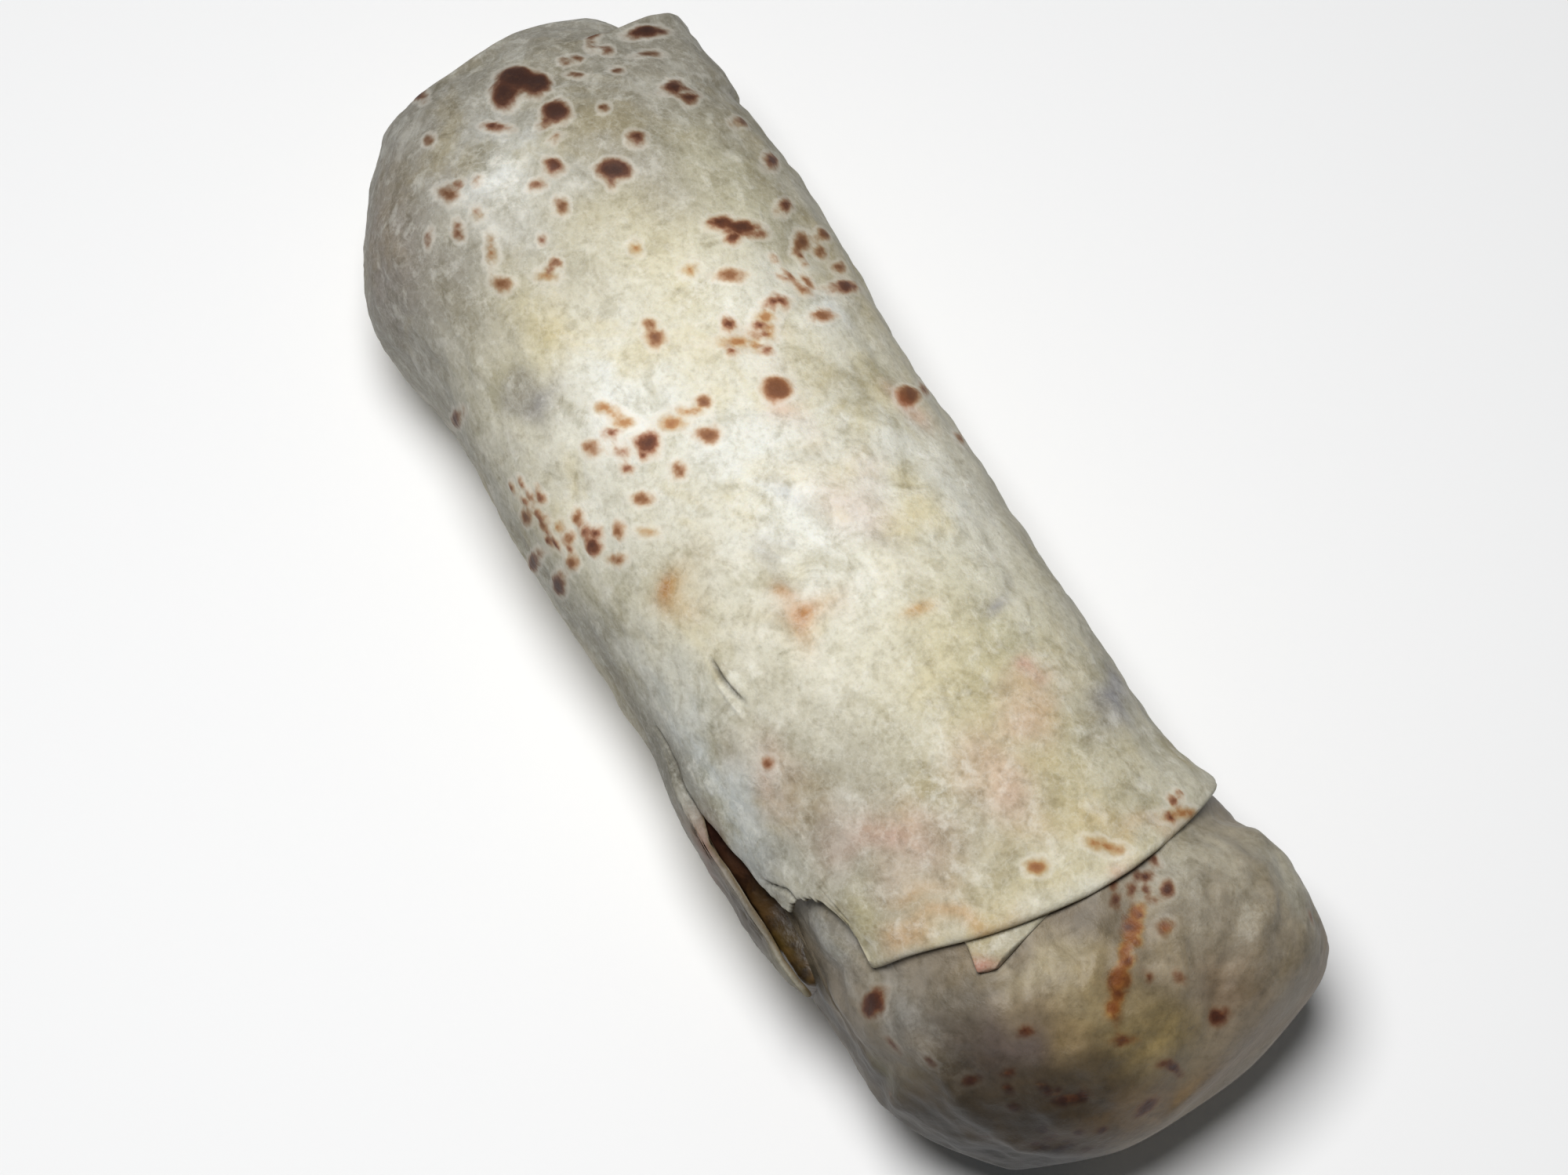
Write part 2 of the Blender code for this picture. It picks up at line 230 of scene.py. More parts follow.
def pulled(x, turn):
    """The turn of a point of the sheet, with the strip frayed and the left corner of the fold pulled down."""
    x, turn = np.broadcast_arrays(x, turn)
    fibres = unevenness(np.stack([x / FRAY_LENGTH, turn / FRAY_TURN, 0 * x], -1), 1, 15)
    frayed = FRAY * fibres * bump(turn_from(STRIP_TURN, turn), 3.5) * step(24, 34, x)
    return turn + frayed - CORNER_PULL * step(58, 65, x) * bump(turn_from(CORNER_TURN, turn), 5)


def ear(x, turn):
    """How far the last fold of the closed end stands out of the right shoulder."""
    places = (EAR_FRONT - EAR_RISE, EAR_FRONT, EAR_BACK, EAR_BACK + EAR_DROP)
    return np.interp(x, places, (0, EAR, EAR_END, 0)) * bump(turn_from(EAR_TURN, turn), EAR_REACH)


def shoulders(x, turn):
    """How much fuller the closed end is than an even dome."""
    return sum(
        height * bump(x - at_x, along) * bump(turn_from(at_turn, turn), around)
        for height, at_x, at_turn, along, around in SHOULDERS
    )


def slit(x, turn, path):
    """1 in the middle of a slit that follows this path, nothing away from it."""
    line = smooth_between(path, x)
    start, end = path[0][0], path[-1][0]
    taper = step(start, start + SLIT_TAPER, x) * (1 - step(end - SLIT_TAPER, end, x))
    return taper * bump((turn - line) * MM_PER_DEGREE, SLIT_HALF)


def wrap(name, places, numbers, colours):
    """A closed skin from a grid of points, whose first and last columns and whose end rows meet.

    numbers and colours are kept on the points, by name.
    """
    rows, columns = places.shape[:2]
    bpy.ops.object.select_all(action="DESELECT")
    bpy.ops.mesh.primitive_grid_add(x_subdivisions=columns - 1, y_subdivisions=rows - 1, size=1)
    made = bpy.context.object
    made.name = made.data.name = name
    flat = np.empty(rows * columns * 3)
    made.data.vertices.foreach_get("co", flat)
    flat = flat.reshape(-1, 3) + 0.5
    column = np.rint(flat[:, 0] * (columns - 1)).astype(int)
    row = np.rint(flat[:, 1] * (rows - 1)).astype(int)
    made.data.vertices.foreach_set("co", ((places[row, column] + ZERO) * MM).ravel())
    for label, values in numbers.items():
        kept = made.data.attributes.new(label, "FLOAT", "POINT")
        kept.data.foreach_set("value", values[row, column].ravel())
    for label, values in colours.items():
        kept = made.data.attributes.new(label, "FLOAT_COLOR", "POINT")
        full = np.concatenate([values[row, column], np.ones((rows * columns, 1))], 1)
        kept.data.foreach_set("color", full.ravel())
    bpy.ops.object.mode_set(mode="EDIT")
    bpy.ops.mesh.select_all(action="SELECT")
    bpy.ops.mesh.remove_doubles(threshold=0.001 * MM)
    bpy.ops.mesh.normals_make_consistent(inside=False)
    bpy.ops.object.mode_set(mode="OBJECT")
    bpy.ops.object.shade_smooth()
    return made


def linear(hex_colour):
    """An sRGB hex colour as linear red, green and blue."""
    parts = np.array([int(hex_colour[i : i + 2], 16) / 255 for i in (1, 3, 5)])
    return np.where(parts <= 0.04045, parts / 12.92, ((parts + 0.055) / 1.055) ** 2.4)


def brushed(colour, over, share):
    """The colour at each point, with this share of another colour over it."""
    return colour + (linear(over) - colour) * share[..., None]


# Toast marks, where blisters of the dough touched the hot plate. Each is an oval:
# x, turn, half its length, half its width, and how far its length leans from along the roll
SCORCHED = (
    (-82.5, -1, 3.4, 1.9, -17), (-84.2, 5, 3.7, 2.4, 20), (-81, 8, 2.8, 1.8, -20),
    (-73.5, 6, 2.2, 1.7, 5), (-62.5, 18, 1.3, 1.1, 90), (-65, -3, 1.2, 1, 0), (-59.5, 9, 2.3, 1.7, 55),
    (-83, 47, 2.4, 1.3, 75), (-69.5, 37, 1.8, 1, -80), (-67, 40, 1.7, 0.8, -70), (-53, 52, 2.4, 0.9, -65),
    (-43.5, 23, 1.9, 1.2, 80), (-41.5, 28, 2.8, 1, 80), (-40.5, 24, 1.1, 0.8, -80),
    (-40, 31, 1.3, 0.6, 80), (-28, 26, 1.6, 1, 85), (-43.5, 44, 1.7, 0.8, -65), (-28, 51, 3.2, 0.9, -80),
    (-95, -28, 2.4, 0.8, 10), (-18.5, -24, 1.6, 1.4, 0), (-14.5, -52, 1.2, 0.9, 60),
    (-12, -52, 1.6, 1.3, 70), (-13, -49, 1.1, 0.8, 30), (-14, -76, 3, 1.2, 80), (-21, -84, 5, 0.9, 75),
    (-48, -84, 4.5, 0.9, 70), (-77, -9, 1.2, 0.5, 35),
)
BROWNED = (
    (-71.5, -30, 1.6, 1, 30), (-58.5, -8, 1, 0.8, -25), (-53.5, -33, 1.3, 0.9, 40),
    (-84, 30, 1.1, 0.6, -35), (-78, 40, 1.5, 0.7, 80), (-61.5, 52, 1.8, 0.6, -75),
    (-35, 18, 1.4, 0.7, 70), (-37, 44, 2, 0.9, -55), (-38, 54, 1.4, 0.6, -65), (-35, 50, 1.1, 0.6, -65),
    (-32, 54, 1.2, 0.6, -65), (-30, 38, 0.9, 0.6, 0), (-23.5, 36, 1.6, 0.9, 90), (-14, -10, 1.5, 1.2, 50),
    (-32, -7, 1.4, 1.2, -20), (-34, -6, 0.9, 0.8, 0), (-19, -6, 0.9, 0.8, 35), (-23.5, -37, 1.2, 0.9, 50),
    (-12, -21, 0.9, 0.8, 20), (-12, -33, 1.1, 0.7, 50), (-16, -58, 1.3, 0.8, 70),
    (-24.5, -69, 1.7, 0.9, 75), (-21, -64, 0.9, 0.6, 65), (-17, -52, 0.9, 0.8, 0),
    (-10.5, -43, 1, 0.9, 0), (-7.5, -48, 1.3, 0.6, 55), (-13, -62, 1, 0.6, 65), (-83, -28, 0.8, 0.6, 0),
    (-15, 12, 2.1, 1.9, -60), (-7, 48, 3, 1.4, -75), (-29, 35, 0.8, 0.6, 0), (32, -44, 0.7, 0.6, 65),
    (-9, 61, 2.4, 0.7, -71), (0.4, 63, 2.2, 0.8, -70),
)
CARAMEL = (
    (-38.5, 10, 1, 0.8, -70), (-46, 2, 0.9, 0.7, -25), (-26, 7, 0.9, 0.6, 65), (-24.5, 12, 2.2, 0.5, 65),
    (-23, 14, 1, 0.7, -45), (-24.3, 20, 1.1, 0.6, -35), (-26.5, 21, 1.2, 0.7, 75),
    (-27, -28, 0.9, 0.6, 50), (-25, -26.5, 0.8, 0.5, 45), (-23.3, -26, 1.2, 0.6, 50),
    (-19, -16, 1.6, 0.8, 50), (-18.8, -10, 1.5, 0.7, 55), (-7, -36, 1.2, 0.6, 50), (-50, -22, 1, 0.6, 45),
    (66.8, -2, 1.3, 0.8, 60), (68.8, 14, 1.3, 0.7, 60), (70.3, 16.5, 1, 0.6, 60),
    (70.4, 40, 2.4, 0.6, 85), (-65, -27, 0.8, 0.5, 35), (-59, -30, 1.3, 0.5, -35),
    (-18.5, -59, 0.9, 0.6, 65),
)
# How dark each kind is, from 0, the palest caramel, to 1
TOAST = ((SCORCHED, 1.0), (BROWNED, 0.6), (CARAMEL, 0.15))
FAR_FROM_TOAST = 20

# Flecks too small to place one by one: middle x and turn, how far they scatter along and round, and how many
FLECKS = (
    (-24, -62, 9, 6, 14), (-75, 20, 14, 22, 10), (-31, 36, 6, 8, 7), (-20, -30, 6, 7, 6),
    (-60, -20, 16, 26, 10), (-24, 12, 5, 8, 7), (70, 38, 4, 5, 3),
)

# Broad tints, brushed on in this order: colour, x, turn, half length, half width, lean, strength
CREAM, FLOUR, BUTTER = "#D1CCB7", "#EDF0EE", "#CCBE8A"
ROSE, APRICOT, OLIVE, SLATE = "#D3A091", "#BF9A6E", "#978E68", "#85838A"
# The grey tints on the closed end and down both sides are painted shade, where the roll turns away from the
# lamp
TINTS_AND_SHADE = (
    ("#7E7C76", -98, 0, 22, 120, 0, 0.9), ("#86807A", -72, -62, 24, 34, 0, 0.75),
    ("#8D8778", -76, 44, 18, 50, 0, 0.75), ("#7A766B", -76, 5, 20, 90, 0, 0.5),
    ("#9B9482", -44, 56, 26, 22, 0, 0.55), ("#807D72", -10, -84, 60, 18, 0, 0.8),
    ("#A29A86", 16, 60, 40, 14, 0, 0.45), ("#A39D88", 55, -10, 18, 110, 0, 0.6),
    ("#8D8778", 44, -40, 17, 22, 0, 0.7), ("#857F6E", 60, -46, 10, 16, 0, 0.3),
    ("#8F8872", -57, 18, 11, 24, 0, 0.45), ("#8F8A78", -42, 43, 10, 11, 0, 0.4),
    ("#A09874", -10, 42, 18, 8, 0, 0.45), ("#8F8B80", -55, -36, 10, 12, 0, 0.35),
    (FLOUR, 1, -2, 22, 20, 0, 0.7), (FLOUR, -69, -14, 9, 14, 0, 0.55), (FLOUR, -26, -20, 12, 18, 30, 0.7),
    (FLOUR, -32, 14, 12, 16, 40, 0.5), (FLOUR, -26, 40, 5, 8, 0, 0.7),
    ("#BFC4C3", 26, -64, 18, 13, 0, 0.85), (FLOUR, 6, 34, 18, 16, 0, 0.45),
    (FLOUR, -10, -52, 10, 12, 0, 0.35), ("#AAB0B1", 42, -70, 8, 7, 0, 0.6),
    ("#857870", -76, -60, 12, 22, 0, 0.5), (BUTTER, 12, 20, 9, 7, -50, 0.55),
    (BUTTER, -43, -32, 9, 10, 0, 0.5), (BUTTER, -38, 8, 16, 16, 0, 0.45),
    (BUTTER, 40, 10, 18, 20, 0, 0.5), ("#C6BD9C", 66, 5, 6, 24, 0, 0.5),
    ("#A9A07C", -4, -52, 12, 9, 50, 0.5), ("#B3AE8C", 36, 26, 16, 12, 0, 0.45),
    ("#B3AE8C", -48, 34, 12, 12, 0, 0.4), (OLIVE, -40, -49, 9, 6, 50, 0.6),
    (OLIVE, 60, -48, 4, 4, 0, 0.45), (SLATE, -36, -42, 5, 4, 50, 0.65), (SLATE, 29, 30, 4, 3.5, -70, 0.7),
    (SLATE, 49, 50, 8, 5, -60, 0.85), (SLATE, 0, 0, 5, 4, 0, 0.3), (SLATE, 14, 12, 4, 4, 0, 0.35),
    (SLATE, -57, 14, 8, 8, 0, 0.3), (SLATE, 8, -14, 5, 3, 0, 0.35), (ROSE, 41, 28, 3, 2.6, -70, 0.6),
    (ROSE, 46, 22, 6, 7, -70, 0.35), (ROSE, 54, 2, 8, 9, 0, 0.38), (ROSE, 52, -29, 9, 8, 45, 0.42),
    (ROSE, 6, 12, 7, 8, 0, 0.22), (ROSE, -12, 11, 4, 4, 0, 0.4), (ROSE, 73, 17, 2, 1.8, 0, 0.7),
    (ROSE, -5, 47, 3, 4, 0, 0.5), (ROSE, 34, -46, 6, 8, 0, 0.28), (APRICOT, 67.5, -24, 7, 3.5, 60, 0.75),
    (APRICOT, 65, -38, 5, 4, 55, 0.7), (APRICOT, -24, 14, 4, 3, 60, 0.35),
    (APRICOT, 60, -31, 5, 3.5, 60, 0.55), ("#B2A880", 58, -47, 4, 5, 0, 0.6),
    (APRICOT, 70, 30, 8, 4, 80, 0.4), ("#BDB086", 71, 3, 12, 4, 80, 0.6),
    ("#6F6858", 46.5, -67.5, 4, 5, 0, 0.75),
    # Faint caramel blotches
    ("#D9BE9E", 18, -16, 4, 7, 0, 0.7), ("#BE8A56", 18, -16, 2.8, 4.8, -25, 0.95),
    ("#A97540", 18, -16, 1.7, 2.8, -25, 0.9), ("#BC9A64", 2.5, -38, 4, 7, 55, 0.85),
    ("#A07038", 2, -41, 2.4, 4, 55, 0.9), ("#B48348", 12.5, -16, 1.8, 3, 0, 0.85),
    ("#BD9150", 26.3, 8, 1.8, 3, -50, 0.85),
    # The torn strip is darkened as painted shade, with some stain from the filling behind it
    ("#5E584C", 38, -94, 30, 20, 0, 0.9), ("#6E6A5C", 20, -88, 9, 10, 0, 0.7),
    ("#7A5646", 33, -86, 5, 8, 0, 0.85), ("#443726", 43, -90, 7, 12, 0, 0.8),
    ("#6D6858", 57, -88, 5, 10, 0, 0.7),
)
# How far the edges of the tints wander, in mm, and the size of the lumps that they follow
TINT_WANDER, TINT_LUMP = 2.2, 7

# Where flour still lies dry and white on the dough: x, turn, half length, half width, lean, how much
FLOURED = (
    (1, -2, 24, 20, 0, 0.8), (-69, -16, 11, 11, 0, 0.8), (-22, -26, 12, 12, 30, 0.9),
    (-30, 14, 14, 12, 40, 0.8), (30, -66, 18, 12, 0, 0.7), (-30, -62, 14, 8, 0, 0.6),
    (45, -10, 22, 26, 0, 0.6), (10, 50, 10, 6, 0, 0.8), (-60, 40, 26, 14, 0, 0.4),
)
LEAST_FLOUR, STRIP_FLOUR = 0.4, 0.1

# Lumps in the dough: height and size in mm, and the seed of the noise. Toast marks are blistered, and the
# whole surface lies this much lower, so that its crests stay inside the roll
DOUGH_LUMPS = ((0.6, 13, 4), (0.32, 5, 5), (0.2, 2.4, 6), (0.35, 8, 13))
BLISTER, SPARE = 0.3, 0.3

# Places with fine wrinkles: how strong, x and turn, their length, how far round they reach, and their lean
WRINKLES = ((1, -78, 28, 18, 30, 54), (0.8, 34, -14, 22, 26, -60))
WRINKLE_LENGTH, WRINKLE_GAP, WRINKLE_HEIGHT, WRINKLE_SHADE = 9, 1.9, 0.3, 0.12


def tangents(x, turn):
    """The skin at one place, with the directions along the roll and round it."""
    middle = skin(x, turn)
    along = skin(x + 0.5, turn) - skin(x - 0.5, turn)
    around = skin(x, turn + 0.5) - skin(x, turn - 0.5)
    return middle, along / np.linalg.norm(along), around / np.linalg.norm(around)


def oval(points, x, turn, length, width, lean):
    """How far each point is from the middle of an oval on the skin: 1 is on its rim."""
    middle, along, around = tangents(x, turn)
    offset = points - middle
    c, s = math.cos(math.radians(lean)), math.sin(math.radians(lean))
    run, across = offset @ (along * c + around * s), offset @ (around * c - along * s)
    down = offset @ np.cross(along, around)
    return np.sqrt((run / length) ** 2 + (across / width) ** 2 + (down / (4 * length)) ** 2)


def toasted(points, kinds, flecks):
    """How far each point is from the rim of the nearest toast mark, negative inside, and how dark that is."""
    nearest = np.full(points.shape[:-1], float(FAR_FROM_TOAST))
    darkness = np.zeros(points.shape[:-1])
    marks = [(*mark, dark) for marks, dark in kinds for mark in marks]
    draw = np.random.default_rng(7)
    for x, turn, along, around, count in flecks:
        for _ in range(count):
            size = draw.uniform(0.3, 0.55)
            place = x + along * draw.normal() / 2, turn + around * draw.normal() / 2
            length, lean, dark = size * draw.uniform(1, 1.6), draw.uniform(0, 180), draw.uniform(0.7, 1)
            marks.append((*place, length, size, lean, dark))
    for x, turn, length, width, lean, dark in marks:
        gap = (oval(points, x, turn, length, width, lean) - 1) * width
        closer = gap < nearest
        nearest = np.where(closer, gap, nearest)
        darkness = np.where(closer, dark, darkness)
    return nearest, darkness


def tinted(points, base, tints):
    """The dough's colour at each point: the base with the tints brushed over it, with wandering edges."""
    wander = np.stack([unevenness(points, TINT_LUMP, seed) for seed in (1, 2, 3)], -1)
    points = points + 2 * TINT_WANDER * wander
    colour = np.broadcast_to(linear(base), points.shape)
    for tint, x, turn, length, width, lean, strength in tints:
        share = strength * bump(oval(points, x, turn, length, width * MM_PER_DEGREE, lean), 1)
        colour = brushed(colour, tint, share)
    return colour


def floured(points, patches, least):
    """How much dry flour lies at each point, from 0 to 1."""
    most = np.full(points.shape[:-1], least)
    for x, turn, length, width, lean, much in patches:
        most = np.maximum(most, much * bump(oval(points, x, turn, length, width * MM_PER_DEGREE, lean), 1))
    return most


def wrinkles(x, turn, middle_x, middle_turn, length, reach, lean):
    """Fine parallel wrinkles round one place, leaning from along the roll towards +Y."""
    c, s = math.cos(math.radians(lean)), math.sin(math.radians(lean))
    around = turn * MM_PER_DEGREE
    run, across = x * c + around * s, around * c - x * s
    places = np.stack([run / WRINKLE_LENGTH, across / WRINKLE_GAP, 0 * x + 3], -1)
    here = bump(x - middle_x, length) * bump(turn_from(middle_turn, turn), reach)
    return here * unevenness(places, 1, 11)


def torn_share(turn):
    """1 where the sheet's free edge is torn, and nothing where it is folded."""
    return step(-100, -96, turn) * (1 - step(-53, -51.5, turn))


def outer_sheet():
    """Places on the sheet as rows along it, from the closed tip over its free edge and back beneath."""
    turns = np.concatenate([
        np.arange(-180, -100, 1.6), np.arange(-100, -52, 0.5), np.arange(-52, -45, 1.0),
        np.arange(-45, -37, 0.4), np.arange(-37, 70, 1.15), np.arange(70, 179, 2.0), [180],
    ])
    edge = edge_x(turns)
    half_sheet = SHEET / 2 * (1 - TORN_THINNING * torn_share(turns))
    dome = CLOSED_END + CLOSED_DOME * (1 - np.cos(np.radians(np.linspace(0, 90, 52))))
    middle = np.linspace(dome[-1], EVEN_ROWS_END, 86)[1:]
    stations = np.sort(np.concatenate([dome, middle, [EAR_FRONT, EAR_BACK, EAR_BACK + EAR_DROP]]))
    rows = [(np.full_like(turns, x), 0 * turns) for x in stations]
    clear = edge - half_sheet
    for share in np.linspace(0, 1, 80)[1:]:
        rows.append((EVEN_ROWS_END + (clear - EVEN_ROWS_END) * share, 0 * turns))
    for angle in np.radians((30, 60, 90, 120, 150, 180)):
        rows.append((clear + half_sheet * np.sin(angle), half_sheet * (1 - np.cos(angle))))
    for share in np.linspace(0, 1, 24)[1:]:
        rows.append((clear + (CAP_X - clear) * share, 2 * half_sheet + (SHEET - 2 * half_sheet) * share))
    return turns, np.array([row[0] for row in rows]), np.array([row[1] for row in rows])


turns, along, depth = outer_sheet()
bare = skin(along, turns)
toast, dark = toasted(bare, TOAST, FLECKS)
tint = tinted(bare, CREAM, TINTS_AND_SHADE)
lifted = strip_lift(along, turns)
flour = floured(bare, FLOURED, LEAST_FLOUR) * (1 - (1 - STRIP_FLOUR) * lifted / STRIP_LIFT)
relief = sum(height * unevenness(bare, size, seed) for height, size, seed in DOUGH_LUMPS)
creased = sum(strength * wrinkles(along, turns, *place) for strength, *place in WRINKLES)
relief += WRINKLE_HEIGHT * creased + BLISTER * step(0.8, -0.4, toast) * dark
cut = sum(slit(along, turns, path) for path in (SLIT, FURROW, CRACK))
lip = slit(along - LIP_X, turns - LIP_TURN, SLIT)
relief += LIP * lip - SLIT_DEPTH * cut - SPARE
relief = (relief + shoulders(along, turns)) * step(0, 12, along - CLOSED_END)
places = pressed(skin(along, pulled(along, turns), depth - relief - lifted - ear(along, turns)))

# The back, the underside and the closed tip are an even cream, and wrinkles have painted shade in their
# furrows and painted light on their crests. The slit, the furrow and the crack are darkened with painted
# shadow, the slit has a floury lip, and the filling has browned the raw dough along the tear
EVEN_CREAM, FURROW_SHADE, FLOURY_LIP, RAW_EDGE = "#C9C0A4", "#5C584E", "#F0EEE4", "#64553A"
even = np.maximum(step(66, 92, turns) + step(-104, -135, turns), 0.5 * step(-91, -104, along))
tint = brushed(tint, EVEN_CREAM, 0.85 * even) * (1 + WRINKLE_SHADE * creased)[..., None]
tint = brushed(tint, FURROW_SHADE, 0.85 * np.minimum(cut, 1))
tint = brushed(tint, FLOURY_LIP, 0.35 * lip)
tint = brushed(tint, RAW_EDGE, 0.85 * step(0.3, 0.8, depth) * torn_share(turns))

# The last row closes the sheet inside the roll, and nothing beneath the edge is toasted or floured
beneath = depth > 0.6 * SHEET
middle = np.array([CAP_X, 0, END_HEIGHT])
places = np.concatenate([places, np.broadcast_to(middle, (1, len(turns), 3))])
toast = np.concatenate([np.where(beneath, FAR_FROM_TOAST, toast), toast[-1:]])
dark, flour = np.concatenate([dark, dark[-1:]]), np.concatenate([flour * ~beneath, flour[-1:]])
tint = np.concatenate([tint, tint[-1:]])
outer_turn = wrap("outer_turn", places, {"toast": toast, "dark": dark, "flour": flour}, {"tint": tint})

# Baked flour tortilla: matt and dry, dusted with flour between translucent patches of dough.
# Small blisters browned on the plate, darkest in the middle, with a caramel rim and a pale ring.
tortilla = bpy.data.materials.new("baked_flour_tortilla")
tortilla.use_nodes = True
tortilla_shader = tortilla.node_tree.nodes["Principled BSDF"]


def rgba(hex_colour):
    """An sRGB hex colour as a shader's linear colour."""
    return (*linear(hex_colour), 1)


def add_node(material, kind, inputs=None, **settings):
    """Adds a node with its settings. Each input is a value, or the output that feeds it."""
    made = material.node_tree.nodes.new("ShaderNode" + kind)
    for name, value in settings.items():
        setattr(made, name, value)
    for name, value in (inputs or {}).items():
        if isinstance(value, bpy.types.NodeSocket):
            material.node_tree.links.new(value, made.inputs[name])
        else:
            made.inputs[name].default_value = value
    return made


def per_mm(size):
    """The scale of a noise whose lumps are about this many millimetres across."""
    return 1 / (2 * size * MM)


at = add_node(tortilla, "TexCoord").outputs["Object"]
colour = dough = add_node(tortilla, "Attribute", attribute_name="tint").outputs["Color"]
gap = add_node(tortilla, "Attribute", attribute_name="toast").outputs["Fac"]
darkness = add_node(tortilla, "Attribute", attribute_name="dark").outputs["Fac"]
flour = add_node(tortilla, "Attribute", attribute_name="flour").outputs["Fac"]

# Thinner and damper patches of dough: lump size in mm, twist, where they start and are full, how strong, and
# what is left of the colour there
PATCHES = (
    (9, 0.6, 0.48, 0.7, 0.6, "#F4E8C4"), (5.5, 0.8, 0.5, 0.72, 0.7, "#D6D2C4"),
    (2.4, 0.8, 0.5, 0.68, 0.6, "#D4D0C4"), (1.1, 0.3, 0.52, 0.7, 0.3, "#CDC9BF"),
    (0.5, 0.0, 0.4, 0.85, 0.6, "#C8C4BA"),
)
for size, twist, start, full, most, left in PATCHES:
    lumps = add_node(tortilla, "TexNoise", {
        "Vector": at, "Scale": per_mm(size), "Detail": 4.0, "Roughness": 0.6, "Distortion": twist,
    })
    share = add_node(tortilla, "MapRange", {
        0: lumps.outputs[0], 1: start, 2: full, 3: 0.0, 4: most,
    }, interpolation_type="SMOOTHSTEP")
    colour = add_node(tortilla, "Mix", {
        0: share.outputs[0], 6: colour, 7: rgba(left),
    }, data_type="RGBA", blend_type="MULTIPLY").outputs[2]

# Dry flour, as specks and as a lace of thin lines along the fine creases: spacing in mm, how far the noise
# may be from its middle, how white, and whether only the line at its middle counts
FLOUR_MARKS = (
    (3.6, 0.2, 0.4, False), (1.5, 0.2, 0.5, False), (1.9, 0.04, 0.2, True), (0.9, 0.06, 0.15, True),
)
for spacing, width, most, lace in FLOUR_MARKS:
    lumps = add_node(tortilla, "TexNoise", {
        "Vector": at, "Scale": per_mm(spacing), "Detail": 4.0, "Roughness": 0.6, "Distortion": 0.2,
    })
    off = add_node(tortilla, "Math", {0: lumps.outputs[0], 1: 0.5}, operation="SUBTRACT")
    if lace:
        off = add_node(tortilla, "Math", {0: off.outputs[0]}, operation="ABSOLUTE")
    line = add_node(tortilla, "MapRange", {
        0: off.outputs[0], 1: width if lace else 0.02, 2: 0.0 if lace else width, 3: 0.0, 4: most,
    }, interpolation_type="SMOOTHSTEP")
    share = add_node(tortilla, "Math", {0: line.outputs[0], 1: flour}, operation="MULTIPLY")
    colour = add_node(tortilla, "Mix", {
        0: share.outputs[0], 6: colour, 7: rgba("#F7F5EB"),
    }, data_type="RGBA").outputs[2]
    if not lace:
        specks = line.outputs[0]

# The rim of a mark wanders with the dough's bubbles: bubble size and how far it moves the rim, in mm
RIM_BUBBLES = ((1.9, 1.1), (0.7, 0.6))
for size, most in RIM_BUBBLES:
    bubbles = add_node(tortilla, "TexNoise", {
        "Vector": at, "Scale": per_mm(size), "Detail": 2.0, "Roughness": 0.55,
    })
    push = add_node(tortilla, "MapRange", {0: bubbles.outputs[0], 1: 0.2, 2: 0.8, 3: -most / 2, 4: most / 2})
    gap = add_node(tortilla, "Math", {0: gap, 1: push.outputs[0]}, operation="ADD").outputs[0]

# What the darkest and the palest marks are like from inside out: mm from the rim, what is left of the
# dough's colour, and how much they cover. The others are between the two
SCORCH_STOPS = (
    (-2.2, "#5E352A", 1), (-0.9, "#6A3F30", 1), (-0.35, "#85503A", 1), (0.0, "#B67A5A", 0.9),
    (0.3, "#D8A886", 0.6), (0.6, "#EACDB2", 0.35), (1.1, "#F6EADC", 0),
)
CARAMEL_STOPS = (
    (-2.2, "#A86E3E", 1), (-0.8, "#B87C50", 1), (-0.3, "#CE9866", 0.95), (0.0, "#E6C29C", 0.8),
    (0.3, "#F0D6B8", 0.5), (0.6, "#F6E6D0", 0.25), (1.1, "#FCF4EA", 0),
)
reach = add_node(tortilla, "MapRange", {0: gap, 1: SCORCH_STOPS[0][0], 2: SCORCH_STOPS[-1][0]})
ramps = []
for stops in (CARAMEL_STOPS, SCORCH_STOPS):
    ramp = add_node(tortilla, "ValToRGB", {0: reach.outputs[0]})
    elements = ramp.color_ramp.elements
    while len(elements) < len(stops):
        elements.new(1.0)
    for element, (mm, stop, cover) in zip(list(elements), stops):
        element.position = (mm - stops[0][0]) / (stops[-1][0] - stops[0][0])
        element.color = (*linear(stop), cover)
    ramps.append(ramp)
deep = add_node(tortilla, "MapRange", {0: darkness, 1: 0.2, 2: 0.85}).outputs[0]
(pale_brown, pale_cover), (deep_brown, deep_cover) = (ramp.outputs for ramp in ramps)
brown = add_node(tortilla, "Mix", {0: deep, 6: pale_brown, 7: deep_brown}, data_type="RGBA").outputs[2]
cover = add_node(tortilla, "Mix", {0: deep, 2: pale_cover, 3: deep_cover}, data_type="FLOAT").outputs[0]

# A mark is paler in fine patches, and its colour multiplies the colour of the dough
fine = add_node(tortilla, "TexNoise", {"Vector": at, "Scale": per_mm(0.8), "Detail": 4.0, "Roughness": 0.65})
pale = add_node(tortilla, "MapRange", {0: fine.outputs[0], 1: 0.5, 2: 0.75, 3: 0.0, 4: 0.35}).outputs[0]
brown = add_node(tortilla, "Mix", {0: pale, 6: brown, 7: rgba("#AC7048")}, data_type="RGBA").outputs[2]
brown = add_node(tortilla, "Mix", {
    0: 1.0, 6: brown, 7: dough,
}, data_type="RGBA", blend_type="MULTIPLY").outputs[2]

